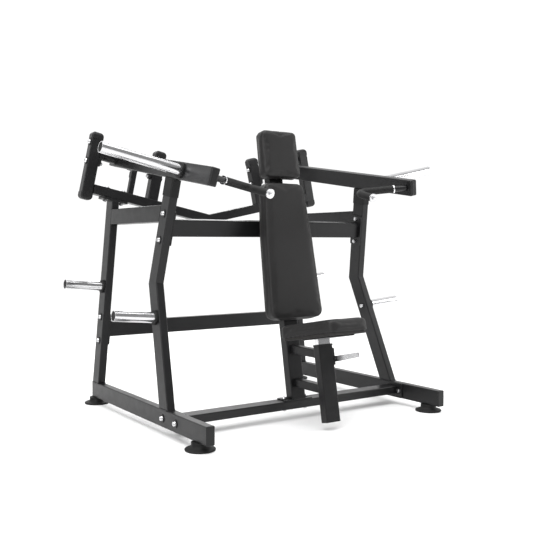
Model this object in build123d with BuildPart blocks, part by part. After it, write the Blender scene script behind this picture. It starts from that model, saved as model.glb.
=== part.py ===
from build123d import *
import os
from math import atan2, cos, degrees, hypot, radians, sin, tan

# Plate-loaded overhead press machine with two independent lever arms.
# Millimetres. X is across the machine, -Y is where the user faces, +Z is up.
# The origin lies on the floor in the middle of the machine.
# The right-hand side (+X) is modelled, and the left-hand pieces mirror it about X = 0.

# ---------------------------------------------------------------- driving dimensions
# frame tube
tube_width = 40.0
tube_depth = 80.0
tube_wall = 3.0
tube_corner = 5.0
# base rails
rail_inner_x = 640.0
rail_bottom = 35.0
rail_front_y = -587.0
rail_rear_y = 627.0
rail_cap = 6.0
cap_plug = 18.0
cap_gap = 0.2
# feet
foot_radius = 65.0
foot_rim = 9.0
foot_stem_radius = 38.0
foot_dome_top = 22.0
front_foot_y = -506.0
rear_foot_y = 614.0
# side frames, which lean inwards
side_lean = 5.1
upright_foot_y = -207.0
upright_bend_y = -2.0
upright_bend_z = 660.0
upright_top_y = -85.0
upright_top_z = 1085.0
side_rail_z = 984.0
# cross beams
base_beam_y = -261.0
front_beam_z = 921.0
rear_beam_z = 395.0
flange_thick = 6.0
flange_length = 160.0
flange_width = 76.0
flange_bolt_half = 62.0
# vee beam and pivot posts
vee_tilt = 11.8
vee_top = 1012.0
vee_height = 50.0
vee_depth = 60.0
vee_plate_length = 140.0
vee_plate_bolt_half = 47.0
post_width = 60.0
post_depth = 50.0
outer_post_clear = 55.6
inner_post_t = 360.0
post_above_vee = 248.0
outer_post_below_vee = 64.0
post_cap_grow = 2.0
post_cap_skirt = 14.0
post_cap_rise = 24.0
stop_post_t = 490.0
stop_post_size = 30.0
stop_post_top = 128.0
stop_pad_thick = 10.0
stop_pad_width = 26.0
stop_pad_height = 36.0
stop_gap = 0.5
# arms
axis_above_vee = 164.0
arm_t = 585.0
arm_slope = 9.13
arm_front = 1065.0
arm_rear = 67.0
arm_cap = 20.0
press_travel = 50.0
arm_rest_gap = 0.5
bumper_wall = 3.0
bumper_skirt = 24.0
shaft_radius = 12.5
shaft_gap = 0.05
sleeve_radius = 30.0
sleeve_wall = 5.0
sleeve_end_wall = 12.0
sleeve_side_gap = 2.0
weld_gap = 0.05
lug_thick = 8.0
lug_reach = 72.0
lug_width = 22.0
# pivot bearings
housing_depth = 25.0
housing_flange = 14.0
housing_boss_radius = 28.0
housing_ear_radius = 15.0
bearing_end_gap = 1.0
ring_radius = 22.0
bearing_gap = 0.05
outer_bearing_bolt_half = 50.0
inner_bearing_bolt_half = 41.0
# weight horns
horn_radius = 25.0
horn_wall = 3.0
horn_root_radius = 24.0
horn_base = 12.0
storage_horn_length = 205.0
front_horn_z = 505.0
rear_horn_z = 617.0
arm_horn_length = 385.0
arm_horn_along = 799.0
collar_radius = 34.0
collar_thick = 10.0
horn_plug = 20.0
horn_plug_recess = 2.0
# handles, along, up and inwards from the arm's pivot
handle_root = (1044.0, 0.0, 20.0)
handle_bend = (938.0, 5.0, 259.0)
handle_end = (1085.0, -1.0, 281.0)
handle_radius = 14.0
handle_turn = 42.0
grip_radius = 18.0
grip_start = 62.0
grip_end_gap = 4.0
handle_ring_thick = 6.0
handle_ring_radius = 20.0
handle_cap_radius = 21.0
handle_cap_thick = 8.0
handle_screw_radius = 4.0
handle_screw_head = 8.0
# seat, spine and pads; distances are measured along and square to the leaning seat axis
recline = 10.3
seat_axis_y = -510.0
seat_axis_z = 210.0
spine_width = 80.0
spine_depth = 50.0
spine_front_f = -228.0
spine_top = 1225.0
seat_sleeve_width = 80.0
seat_sleeve_depth = 44.0
seat_sleeve_bottom = -177.0
seat_sleeve_top = 170.0
bushing_wall = 2.0
bushing_lip = 7.0
bushing_insert = 50.0
seat_post_gap = 0.2
seat_post_bottom = -160.0
seat_post_wall = 3.0
seat_plate_under = 202.0
seat_plate_thick = 6.0
seat_plate_length = 200.0
seat_plate_width = 150.0
board_thick = 12.0
board_inset = 8.0
seat_pad_thick = 58.0
seat_front_f = 212.0
seat_rear_f = -115.0
seat_front_half = 106.0
seat_rear_half = 166.0
seat_corner = 34.0
back_pad_thick = 60.0
back_pad_bottom = 311.0
back_pad_top = 984.0
back_pad_waist = 708.0
back_bottom_half = 156.0
back_waist_half = 142.0
back_top_half = 118.0
back_corner = 40.0
head_pad_thick = 60.0
head_pad_bottom = 1008.0
head_pad_top = 1245.0
head_bottom_half = 108.0
head_top_half = 103.0
head_corner = 24.0
pad_edge = 14.0
link_size = 40.0
spine_bracket_size = 60.0
upper_link_z = 337.0
lower_link_z = 178.0
# seat release
hole_pitch = 30.0
hole_count = 5
release_along = 105.0
post_hole_gap = 0.5
bracket_thick = 6.0
bracket_front = 22.0
bracket_rear = -38.0
bracket_low = 78.0
bracket_high = 156.0
bracket_screw_along = 142.0
bracket_screw_half = 12.0
bracket_screw_radius = 3.0
bracket_screw_head = 6.5
release_pivot_f = -26.0
release_pivot_out = 20.0
release_pivot_radius = 5.0
lever_boss_radius = 9.0
lever_knee = 46.0
lever_tip_f = 131.0
lever_tip_out = 55.0
lever_thick = 9.0
lever_height = 26.0
lever_rise = 9.0
lever_gap = 0.4
pin_radius = 6.0
pin_clearance = 0.08
pin_rest_gap = 0.5
pin_slot = 20.0
pin_slot_shift = 1.8
pin_collar_radius = 9.0
pin_collar_thick = 5.0
pin_collar_gap = 4.6
# fasteners
bolt_radius = 6.0
bolt_head_radius = 11.5
bolt_head_height = 7.0
bolt_head_taper = 18.0
bolt_socket = 4.0
bolt_clearance = 0.5
thread_gap = 0.05
thread_depth = 9.0
washer_radius = 19.0
small_washer_radius = 13.0
washer_thick = 3.0
nut_radius = 10.4
nut_height = 10.0
thread_stand_out = 3.0


# ---------------------------------------------------------------- shared geometry
def cosd(angle):
    return cos(radians(angle))


def sind(angle):
    return sin(radians(angle))


def tand(angle):
    return tan(radians(angle))


def local_plane(base, origin, x_dir, z_dir):
    """A plane whose origin and directions are given in another plane's own terms."""
    return Plane(
        origin=base.from_local_coords(origin),
        x_dir=base.from_local_coords(x_dir) - base.origin,
        z_dir=base.from_local_coords(z_dir) - base.origin,
    )


def tube_section(width, depth, wall=tube_wall, corner=tube_corner):
    """The hollow section of a rectangular tube, added to the open sketch."""
    RectangleRounded(width, depth, corner)
    RectangleRounded(width - 2 * wall, depth - 2 * wall, corner - wall, mode=Mode.SUBTRACT)


def drill(planes, radius, depth):
    """Round holes of one size down from each plane, cut from the open part."""
    for plane in planes:
        with BuildSketch(plane) as hole:
            Circle(radius)
        extrude(hole.sketch, amount=-depth, mode=Mode.SUBTRACT)


def discs(planes, radius, start, height, mode=Mode.ADD, taper=0):
    """Round bars of one size that start a distance out from each plane, in the open part."""
    with BuildSketch(*[plane.offset(start) for plane in planes]) as disc:
        Circle(radius)
    extrude(disc.sketch, amount=height, taper=taper, mode=mode)


def hexes(planes, radius, start, height, mode=Mode.ADD):
    """Hexagonal bars of one size that start a distance out from each plane, in the open part."""
    with BuildSketch(*[plane.offset(start) for plane in planes]) as hexagon:
        RegularPolygon(radius, 6)
    extrude(hexagon.sketch, amount=height, mode=mode)


def round_bar(start, end, width):
    """A round-ended bar between two points of the open sketch."""
    across = end[0] - start[0]
    up = end[1] - start[1]
    with Locations(((start[0] + end[0]) / 2, (start[1] + end[1]) / 2)):
        SlotCenterToCenter(hypot(across, up), width, rotation=degrees(atan2(up, across)))


def write(builder, name):
    """Label a finished piece and write it."""
    builder.part.label = name
    export_step(builder.part, f"parts/{name}.step")


def write_pair(builder, name):
    """Write the right-hand piece and its mirror image for the left."""
    write(builder, f"right_{name}")
    with BuildPart() as twin:
        mirror(builder.part, about=Plane.YZ)
    write(twin, f"left_{name}")


os.makedirs("parts", exist_ok=True)

rail_x = rail_inner_x + tube_width / 2
rail_z = rail_bottom + tube_depth / 2
rail_top = rail_bottom + tube_depth
rear_upright_y = rail_rear_y - tube_depth / 2
axis_y = rear_upright_y
bolt_hole = bolt_radius + bolt_clearance

# The side frame's plane: x runs along the machine, y up the lean, z outwards from the inner face.
lean = Plane(origin=(rail_inner_x, 0, rail_top), x_dir=(0, 1, 0), z_dir=(cosd(side_lean), 0, sind(side_lean)))
# The vee beam's plane: x runs out along the beam's top, y along the machine, z square to the beam.
tilt = Plane(origin=(0, axis_y, vee_top), x_dir=(cosd(vee_tilt), 0, sind(vee_tilt)),
             z_dir=(-sind(vee_tilt), 0, cosd(vee_tilt)))
# The arm's plane, from its pivot: x runs forwards along the arm, y up, z inwards.
arm = local_plane(tilt, (arm_t, 0, axis_above_vee), (0, -cosd(arm_slope), -sind(arm_slope)), (-1, 0, 0))
# The seat's plane: x runs across, y forwards square to the seat axis, z up along it.
seat = Plane(origin=(0, seat_axis_y, seat_axis_z), x_dir=(-1, 0, 0), z_dir=(0, sind(recline), cosd(recline)))


def lean_height(z):
    """How far up the lean a level above the floor lies."""
    return (z - rail_top) / cosd(side_lean)


bend = (upright_bend_y, lean_height(upright_bend_z))
upright_top = (upright_top_y, lean_height(upright_top_z))
lower_slope = (upright_bend_y - upright_foot_y) / bend[1]
upper_slope = (upright_top_y - upright_bend_y) / (upright_top[1] - bend[1])
upper_angle = degrees(atan2(upper_slope, 1))


def upright_y(v):
    """Where the front upright's centre line lies, at a distance up the lean."""
    if v < bend[1]:
        return upright_foot_y + lower_slope * v
    return bend[0] + upper_slope * (v - bend[1])


# ---------------------------------------------------------------- fastener places
# Each place is the plane under a bolt's washer, facing out, with the length that it clamps.
front_beam_v = lean_height(front_beam_z)
rear_beam_v = lean_height(rear_beam_z)
upper_dir = (sind(upper_angle), cosd(upper_angle))


def front_flange_plane(w):
    """The front beam's flange centre, at a distance w out from the upright's inner face."""
    return local_plane(lean, (upright_y(front_beam_v), front_beam_v, w),
                       (upper_dir[0], upper_dir[1], 0), (0, 0, 1))


def rear_flange_plane(w):
    """The rear beam's flange centre, at a distance w out from the upright's inner face."""
    return local_plane(lean, (rear_upright_y, rear_beam_v, w), (0, 1, 0), (0, 0, 1))


def base_flange_plane(x):
    """The base beam's flange centre, on a plane square to X."""
    return Plane(origin=(x, base_beam_y, rail_z), x_dir=(0, 1, 0), z_dir=(1, 0, 0))


def along(plane, distances):
    """Copies of a plane, moved along its own x."""
    return [plane.shift_origin(plane.from_local_coords((d, 0, 0))) for d in distances]


flange_pair = (-flange_bolt_half, flange_bolt_half)
front_beam_bolts = along(front_flange_plane(tube_width), flange_pair)
rear_beam_bolts = along(rear_flange_plane(tube_width), flange_pair)
base_beam_bolts = along(base_flange_plane(rail_inner_x + tube_width), flange_pair)
foot_bolts = [
    Plane(origin=(side * flange_bolt_half, base_beam_y, rail_z + tube_width / 2 + flange_thick))
    for side in (-1, 1)
]
plate_stack = vee_height + 2 * flange_thick


def rear_upright_axis(v):
    """A point on the rear upright's centre line, in the vee beam's terms."""
    return tilt.to_local_coords(lean.from_local_coords((rear_upright_y, v, tube_width / 2)))


# where that centre line meets the underside of the vee beam's two plates
rise = rear_upright_axis(1).Z - rear_upright_axis(0).Z
rear_upright_top = (-plate_stack - rear_upright_axis(0).Z) / rise
upright_t = rear_upright_axis(rear_upright_top).X
vee_bolts = [
    local_plane(tilt, (upright_t + side * vee_plate_bolt_half, 0, 0), (1, 0, 0), (0, 0, 1))
    for side in (-1, 1)
]


def post_bolts(t, facing, half):
    """The two bolts that hold a pivot bearing to a post, on the post's far face."""
    return [
        local_plane(tilt, (t + facing * post_width / 2, 0, axis_above_vee + side * half),
                    (0, 1, 0), (facing, 0, 0))
        for side in (-1, 1)
    ]


# the outer post stands clear of the vee beam's plates
outer_post_t = upright_t + vee_plate_length / 2 + outer_post_clear + post_width / 2
outer_post_bolts = post_bolts(outer_post_t, 1, outer_bearing_bolt_half)
inner_post_bolts = post_bolts(inner_post_t, -1, inner_bearing_bolt_half)


def upright_face(y, z, w, outward):
    """A plane on an upright's face at a level above the floor."""
    return local_plane(lean, (y, lean_height(z), w), (0, 1, 0), (0, 0, outward))


horn_places = [
    (upright_y(lean_height(front_horn_z)), front_horn_z),
    (rear_upright_y, rear_horn_z),
]
horn_planes = [upright_face(y, z, tube_width, 1) for y, z in horn_places]
horn_bolts = [upright_face(y, z, 0, -1) for y, z in horn_places]
spine_rear_f = spine_front_f - spine_depth
pad_bolt_places = (back_pad_bottom + 120, back_pad_waist, back_pad_top - 90,
                   head_pad_bottom + 60, head_pad_top - 60)
pad_bolts = [local_plane(seat, (0, spine_rear_f, a), (1, 0, 0), (0, -1, 0)) for a in pad_bolt_places]

# ---------------------------------------------------------------- base
with BuildPart() as base_rail:
    with BuildSketch(Plane(origin=(rail_x, rail_rear_y, rail_z), x_dir=(1, 0, 0), z_dir=(0, -1, 0))):
        tube_section(tube_width, tube_depth)
    extrude(amount=rail_rear_y - rail_front_y)
    drill(base_beam_bolts, bolt_hole, tube_width + 1)
write_pair(base_rail, "base_rail")

cap_planes = [
    Plane(origin=(rail_x, rail_front_y, rail_z), x_dir=(1, 0, 0), z_dir=(0, -1, 0)),
    Plane(origin=(rail_x, rail_rear_y, rail_z), x_dir=(1, 0, 0), z_dir=(0, 1, 0)),
]
plug_width = tube_width - 2 * tube_wall - 2 * cap_gap
plug_depth = tube_depth - 2 * tube_wall - 2 * cap_gap
with BuildPart() as rail_end_caps:
    for plane in cap_planes:
        with BuildSketch(plane):
            RectangleRounded(tube_width, tube_depth, tube_corner)
        extrude(amount=rail_cap)
        fillet(faces(Select.LAST).sort_by(Axis(plane.origin, plane.z_dir))[-1].edges(), rail_cap / 2)
        with BuildSketch(plane):
            RectangleRounded(plug_width, plug_depth, tube_corner - tube_wall)
        extrude(amount=-cap_plug)
    mirror(about=Plane.YZ)
write(rail_end_caps, "rail_end_caps")

with BuildPart() as rubber_feet:
    for y in (front_foot_y, rear_foot_y):
        with BuildSketch(Plane(origin=(rail_x, y, 0), x_dir=(1, 0, 0), z_dir=(0, -1, 0))):
            with BuildLine():
                Line((0, 0), (foot_radius - 2, 0))
                Line((foot_radius - 2, 0), (foot_radius, foot_rim - 3))
                Line((foot_radius, foot_rim - 3), (foot_radius - 3, foot_rim))
                Spline((foot_radius - 3, foot_rim), (foot_stem_radius, foot_dome_top),
                       tangents=((-1, 0.25), (-0.2, 1)))
                Line((foot_stem_radius, foot_dome_top), (foot_stem_radius, rail_bottom))
                Line((foot_stem_radius, rail_bottom), (0, rail_bottom))
                Line((0, rail_bottom), (0, 0))
            make_face()
        revolve(axis=Axis((rail_x, y, 0), (0, 0, 1)))
    mirror(about=Plane.YZ)
write(rubber_feet, "rubber_feet")

# ---------------------------------------------------------------- side frames
tube_mid = tube_width / 2
below = 30.0
front_path = [
    lean.from_local_coords((upright_y(-below), -below, tube_mid)),
    lean.from_local_coords((bend[0], bend[1], tube_mid)),
    lean.from_local_coords((upright_top[0], upright_top[1], tube_mid)),
]
with BuildPart() as front_upright:
    with BuildLine():
        Polyline(*front_path)
    with BuildSketch(Plane(origin=front_path[0], x_dir=lean.z_dir, z_dir=front_path[1] - front_path[0])):
        tube_section(tube_width, tube_depth)
    sweep(transition=Transition.RIGHT)
    split(bisect_by=Plane.XY.offset(rail_top), keep=Keep.TOP)
    drill(front_beam_bolts, bolt_hole, tube_width + 1)
    drill([horn_bolts[0]], bolt_hole, tube_width + 1)
write_pair(front_upright, "front_upright")

vee_under = local_plane(tilt, (0, 0, -plate_stack), (1, 0, 0), (0, 0, 1))
with BuildPart() as rear_upright:
    with BuildSketch(local_plane(lean, (rear_upright_y, -below, tube_mid), (0, 0, 1), (0, 1, 0))):
        tube_section(tube_width, tube_depth)
    extrude(amount=rear_upright_top + 2 * below)
    split(bisect_by=Plane.XY.offset(rail_top), keep=Keep.TOP)
    split(bisect_by=vee_under, keep=Keep.BOTTOM)
    drill(rear_beam_bolts, bolt_hole, tube_width + 1)
    drill([horn_bolts[1]], bolt_hole, tube_width + 1)
write_pair(rear_upright, "rear_upright")

side_rail_v = lean_height(side_rail_z)
upright_back = local_plane(
    lean, (upright_top[0] + tube_depth / 2 * upper_dir[1], upright_top[1] - tube_depth / 2 * upper_dir[0], 0),
    (upper_dir[0], upper_dir[1], 0), (upper_dir[1], -upper_dir[0], 0))
with BuildPart() as side_rails:
    with BuildSketch(local_plane(lean, (rear_upright_y - tube_depth / 2, side_rail_v, tube_mid),
                                 (0, 0, 1), (-1, 0, 0))):
        tube_section(tube_width, tube_depth)
    extrude(amount=rear_upright_y - upright_y(side_rail_v))
    split(bisect_by=upright_back, keep=Keep.TOP)
    mirror(about=Plane.YZ)
write(side_rails, "side_rails")

# ---------------------------------------------------------------- cross beams and their flanges
flange_planes = [front_flange_plane(0), rear_flange_plane(0), base_flange_plane(rail_inner_x)]
foot_plate_top = rail_z + tube_width / 2 + flange_thick
with BuildPart() as beam_flanges:
    for plane in flange_planes:
        with BuildSketch(plane):
            RectangleRounded(flange_length, flange_width, 6)
            with Locations((-flange_bolt_half, 0), (flange_bolt_half, 0)):
                Circle(bolt_hole, mode=Mode.SUBTRACT)
        extrude(amount=-flange_thick)
    mirror(about=Plane.YZ)
    with BuildSketch(Plane(origin=(0, base_beam_y, foot_plate_top))):
        RectangleRounded(flange_length, flange_width, 6)
        with Locations((-flange_bolt_half, 0), (flange_bolt_half, 0)):
            Circle(bolt_hole, mode=Mode.SUBTRACT)
    extrude(amount=-flange_thick)
write(beam_flanges, "beam_flange_plates")


def beam_between(section_plane, flange_plane):
    """A tube from side to side that ends on its two flange plates, built in the open part."""
    with BuildSketch(section_plane) as section:
        tube_section(tube_width, tube_depth)
    extrude(section.sketch, amount=rail_inner_x)
    split(bisect_by=flange_plane.offset(-flange_thick), keep=Keep.BOTTOM)
    mirror(about=Plane.YZ)


with BuildPart() as front_cross_beam:
    beam_between(Plane(origin=(0, upright_y(front_beam_v), front_beam_z),
                       x_dir=(0, upper_dir[1], -upper_dir[0]), z_dir=(1, 0, 0)), front_flange_plane(0))
write(front_cross_beam, "front_cross_beam")

with BuildPart() as rear_cross_beam:
    beam_between(Plane(origin=(0, rear_upright_y, rear_beam_z), x_dir=(0, 1, 0), z_dir=(1, 0, 0)),
                 rear_flange_plane(0))
write(rear_cross_beam, "rear_cross_beam")

with BuildPart() as base_cross_beam:
    beam_between(Plane(origin=(0, base_beam_y, rail_z), x_dir=(0, 0, 1), z_dir=(1, 0, 0)),
                 base_flange_plane(rail_inner_x))
    drill(foot_bolts, bolt_hole, tube_width + flange_thick + 1)
write(base_cross_beam, "base_cross_beam")

# ---------------------------------------------------------------- vee beam and pivot posts
with BuildPart() as vee_beam:
    with BuildSketch(local_plane(tilt, (-vee_height, 0, -vee_height / 2), (0, 1, 0), (1, 0, 0))):
        tube_section(vee_depth, vee_height)
    extrude(amount=outer_post_t - post_width / 2 + vee_height)
    split(bisect_by=Plane.YZ, keep=Keep.TOP)
    drill(vee_bolts, bolt_hole, vee_height + 1)
    mirror(about=Plane.YZ)
write(vee_beam, "vee_beam")

with BuildPart() as vee_plates:
    for level in (0, 1):
        with BuildSketch(local_plane(tilt, (upright_t, 0, -vee_height - level * flange_thick),
                                     (1, 0, 0), (0, 0, -1))):
            RectangleRounded(vee_plate_length, flange_width, 6)
            with Locations((-vee_plate_bolt_half, 0), (vee_plate_bolt_half, 0)):
                Circle(bolt_hole, mode=Mode.SUBTRACT)
        extrude(amount=flange_thick)
    mirror(about=Plane.YZ)
write(vee_plates, "vee_beam_plates")

outer_post_low = -outer_post_below_vee
with BuildPart() as outer_posts:
    with BuildSketch(local_plane(tilt, (outer_post_t, 0, outer_post_low), (1, 0, 0), (0, 0, 1))):
        tube_section(post_width, post_depth)
    extrude(amount=post_above_vee - outer_post_low)
    drill(outer_post_bolts, bolt_hole, post_width + 1)
    mirror(about=Plane.YZ)
write(outer_posts, "outer_pivot_posts")

with BuildPart() as inner_posts:
    with BuildSketch(local_plane(tilt, (inner_post_t, 0, 0), (1, 0, 0), (0, 0, 1))):
        tube_section(post_width, post_depth)
    extrude(amount=post_above_vee)
    drill(inner_post_bolts, bolt_hole, post_width + 1)
    mirror(about=Plane.YZ)
write(inner_posts, "inner_pivot_posts")

post_ends = [
    local_plane(tilt, (outer_post_t, 0, post_above_vee), (1, 0, 0), (0, 0, 1)),
    local_plane(tilt, (outer_post_t, 0, outer_post_low), (1, 0, 0), (0, 0, -1)),
    local_plane(tilt, (inner_post_t, 0, post_above_vee), (1, 0, 0), (0, 0, 1)),
]
with BuildPart() as post_caps:
    for plane in post_ends:
        with BuildSketch(plane.offset(-post_cap_skirt)):
            RectangleRounded(post_width + 2 * post_cap_grow, post_depth + 2 * post_cap_grow,
                             tube_corner + post_cap_grow)
        extrude(amount=post_cap_skirt + post_cap_rise)
        dome = faces(Select.LAST).sort_by(Axis(plane.origin, plane.z_dir))[-1]
        fillet(dome.edges(), post_cap_rise - 4)
        with BuildSketch(plane):
            RectangleRounded(post_width, post_depth, tube_corner)
        extrude(amount=-post_cap_skirt, mode=Mode.SUBTRACT)
    mirror(about=Plane.YZ)
write(post_caps, "post_end_caps")

with BuildPart() as stop_posts:
    with BuildSketch(local_plane(tilt, (stop_post_t, 0, 0), (1, 0, 0), (0, 0, 1))):
        tube_section(stop_post_size, stop_post_size)
    extrude(amount=stop_post_top)
    mirror(about=Plane.YZ)
write(stop_posts, "stop_posts")

stop_pad_mid = stop_post_top - stop_pad_height / 2 - 2
with BuildPart() as stop_pads:
    with BuildSketch(local_plane(tilt, (stop_post_t, stop_post_size / 2, stop_pad_mid), (1, 0, 0), (0, 1, 0))):
        RectangleRounded(stop_pad_width, stop_pad_height, 4)
    extrude(amount=stop_pad_thick)
    mirror(about=Plane.YZ)
write(stop_pads, "stop_pads")

# ---------------------------------------------------------------- pivot bearings
outer_bearing = local_plane(tilt, (outer_post_t - post_width / 2, 0, axis_above_vee), (0, 0, 1), (-1, 0, 0))
inner_bearing = local_plane(tilt, (inner_post_t + post_width / 2, 0, axis_above_vee), (0, 0, 1), (1, 0, 0))
with BuildPart() as bearing_housings:
    for plane, half in ((outer_bearing, outer_bearing_bolt_half), (inner_bearing, inner_bearing_bolt_half)):
        with BuildSketch(plane):
            Circle(housing_boss_radius)
            with Locations((-half, 0), (half, 0)):
                Circle(housing_ear_radius)
            make_hull()
        extrude(amount=housing_flange)
        with BuildSketch(plane):
            Circle(housing_boss_radius)
        extrude(amount=housing_depth)
        with BuildSketch(plane):
            Circle(ring_radius + bearing_gap)
        extrude(amount=housing_depth, mode=Mode.SUBTRACT)
        with BuildSketch(plane):
            with Locations((-half, 0), (half, 0)):
                Circle(bolt_hole)
        extrude(amount=housing_flange, mode=Mode.SUBTRACT)
    mirror(about=Plane.YZ)
write(bearing_housings, "bearing_housings")

# ---------------------------------------------------------------- bumpers that the arms rest on
upright_end = local_plane(lean, (upright_top[0], upright_top[1], tube_mid), (0, 0, 1), (*upper_dir, 0))
arm_under = local_plane(arm, (0, -tube_depth / 2 - arm_rest_gap, 0), (1, 0, 0), (0, 1, 0))
with BuildPart() as bumper_caps:
    with BuildSketch(upright_end.offset(-bumper_skirt)):
        RectangleRounded(tube_width + 2 * bumper_wall, tube_depth + 2 * bumper_wall, tube_corner + bumper_wall)
    extrude(amount=2 * tube_depth)
    with BuildSketch(upright_end):
        RectangleRounded(tube_width + 2 * cap_gap, tube_depth + 2 * cap_gap, tube_corner + cap_gap)
    extrude(amount=-bumper_skirt, mode=Mode.SUBTRACT)
    split(bisect_by=arm_under, keep=Keep.BOTTOM)
    mirror(about=Plane.YZ)
write(bumper_caps, "bumper_caps")


# ---------------------------------------------------------------- weight horns
def horn_at(plane, length):
    """A hollow horn with a solid, threaded root, built in the open part."""
    discs([plane], horn_root_radius, 0, collar_thick)
    discs([plane], horn_radius, collar_thick, length - collar_thick)
    discs([plane], horn_radius - horn_wall, horn_base, length - horn_base, mode=Mode.SUBTRACT)


def horn_rubbers_at(plane, length):
    """A horn's root collar and the plug in its open end, built in the open part."""
    discs([plane], collar_radius, 0, collar_thick)
    discs([plane], horn_root_radius + weld_gap, 0, collar_thick, mode=Mode.SUBTRACT)
    discs([plane], horn_radius - horn_wall - weld_gap, length - horn_plug - horn_plug_recess, horn_plug)


with BuildPart() as storage_horns:
    for plane in horn_planes:
        horn_at(plane, storage_horn_length)
    discs(horn_planes, bolt_radius + thread_gap, 0, thread_depth + 1, mode=Mode.SUBTRACT)
    mirror(about=Plane.YZ)
write(storage_horns, "storage_horns")

with BuildPart() as storage_rubbers:
    for plane in horn_planes:
        horn_rubbers_at(plane, storage_horn_length)
    mirror(about=Plane.YZ)
write(storage_rubbers, "storage_horn_rubbers")

# ---------------------------------------------------------------- arms
with BuildPart() as arm_tube:
    with BuildSketch(local_plane(arm, (-arm_rear, 0, 0), (0, 0, 1), (1, 0, 0))):
        tube_section(tube_width, tube_depth)
    extrude(amount=arm_front + arm_rear)
    drill([arm.offset(tube_width / 2 + 1)], sleeve_radius + weld_gap, tube_width + 2)
write_pair(arm_tube, "arm_tube")

arm_ends = [
    local_plane(arm, (arm_front, 0, 0), (0, 0, 1), (1, 0, 0)),
    local_plane(arm, (-arm_rear, 0, 0), (0, 0, 1), (-1, 0, 0)),
]
with BuildPart() as arm_caps:
    for plane, thick in zip(arm_ends, (arm_cap, rail_cap)):
        with BuildSketch(plane):
            RectangleRounded(tube_width, tube_depth, tube_corner)
        extrude(amount=thick)
        fillet(faces(Select.LAST).sort_by(Axis(plane.origin, plane.z_dir))[-1].edges(), thick / 2)
        with BuildSketch(plane):
            RectangleRounded(plug_width, plug_depth, tube_corner - tube_wall)
        extrude(amount=-cap_plug)
write_pair(arm_caps, "arm_end_caps")

sleeve_low = arm_t - outer_post_t + post_width / 2 + housing_depth + sleeve_side_gap
sleeve_high = arm_t - inner_post_t - post_width / 2 - housing_depth - sleeve_side_gap
sleeve_length = sleeve_high - sleeve_low
# the stop lug stands square to the stop pad when the arm is fully raised, so at rest it is turned back
lug_plane = local_plane(
    tilt, (stop_post_t, 0, axis_above_vee),
    (0, -cosd(press_travel), -sind(press_travel)), (-1, 0, 0))
lug_back = stop_post_size / 2 + stop_pad_thick + stop_gap
with BuildPart() as pivot_sleeve:
    discs([arm], sleeve_radius, sleeve_low, sleeve_length)
    with BuildSketch(lug_plane):
        with Locations((-lug_back - lug_thick / 2, -(lug_reach + lug_thick) / 2)):
            Rectangle(lug_thick, lug_reach - lug_thick)
    extrude(amount=lug_width / 2, both=True)
    discs([arm], sleeve_radius - sleeve_wall, sleeve_low + sleeve_end_wall,
          sleeve_length - 2 * sleeve_end_wall, mode=Mode.SUBTRACT)
    discs([arm], shaft_radius, sleeve_low, sleeve_length, mode=Mode.SUBTRACT)
write_pair(pivot_sleeve, "pivot_sleeve")

ring_length = housing_depth - 2 * bearing_end_gap
shaft_low = sleeve_low - sleeve_side_gap - housing_depth + bearing_end_gap
shaft_high = sleeve_high + sleeve_side_gap + housing_depth - bearing_end_gap
with BuildPart() as pivot_shaft:
    discs([arm], shaft_radius - shaft_gap, shaft_low, shaft_high - shaft_low)
    discs([arm], ring_radius, shaft_low, ring_length)
    discs([arm], ring_radius, shaft_high - ring_length, ring_length)
write_pair(pivot_shaft, "pivot_shaft")

arm_horn_plane = local_plane(arm, (arm_horn_along, 0, -tube_width / 2), (1, 0, 0), (0, 0, -1))
with BuildPart() as arm_horn:
    horn_at(arm_horn_plane, arm_horn_length)
write_pair(arm_horn, "arm_horn")

with BuildPart() as arm_rubbers:
    horn_rubbers_at(arm_horn_plane, arm_horn_length)
write_pair(arm_rubbers, "arm_horn_rubbers")

# ---------------------------------------------------------------- handles
root_point = arm.from_local_coords(handle_root)
turn_point = arm.from_local_coords(handle_bend)
end_point = arm.from_local_coords(handle_end)
inward = (turn_point - root_point).normalized()
forward = (end_point - turn_point).normalized()
handle_plane = Plane(origin=root_point, x_dir=inward, z_dir=inward.cross(forward))


root_plane = Plane(origin=root_point, x_dir=handle_plane.z_dir, z_dir=inward)
tip_plane = Plane(origin=end_point, x_dir=handle_plane.z_dir, z_dir=forward)
turn_angle = inward.get_angle(forward)
turn_length = handle_turn * tand(turn_angle / 2)
first_length = (turn_point - root_point).length - turn_length
last_length = (end_point - turn_point).length - turn_length
turn_centre = root_point + inward * first_length + handle_plane.y_dir * handle_turn


def handle_bend_bar(start, radius, mode=Mode.ADD):
    """A round bar along the handle's centre line, from a distance past its root, in the open part."""
    discs([root_plane], radius, start, first_length - start, mode=mode)
    with BuildSketch(root_plane.offset(first_length)) as section:
        Circle(radius)
    revolve(section.sketch, axis=Axis(turn_centre, handle_plane.z_dir), revolution_arc=turn_angle, mode=mode)
    discs([tip_plane], radius, 0, -last_length, mode=mode)


with BuildPart() as handle_bar:
    handle_bend_bar(0, handle_radius)
    split(bisect_by=arm.offset(tube_width / 2), keep=Keep.TOP)
write_pair(handle_bar, "handle_bar")

grip_from = grip_start + handle_ring_thick
with BuildPart() as hand_grip:
    handle_bend_bar(grip_from, grip_radius)
    handle_bend_bar(grip_from, handle_radius + weld_gap, mode=Mode.SUBTRACT)
write_pair(hand_grip, "hand_grip")

with BuildPart() as handle_fittings:
    discs([root_plane], handle_ring_radius, grip_start, handle_ring_thick)
    discs([root_plane], handle_radius + weld_gap, grip_start, handle_ring_thick, mode=Mode.SUBTRACT)
    discs([tip_plane], handle_cap_radius, 0, handle_cap_thick)
    discs([tip_plane], handle_screw_radius, handle_cap_thick, handle_cap_thick)
    discs([tip_plane], handle_screw_head, 2 * handle_cap_thick, handle_screw_radius)
write_pair(handle_fittings, "handle_fittings")

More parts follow.
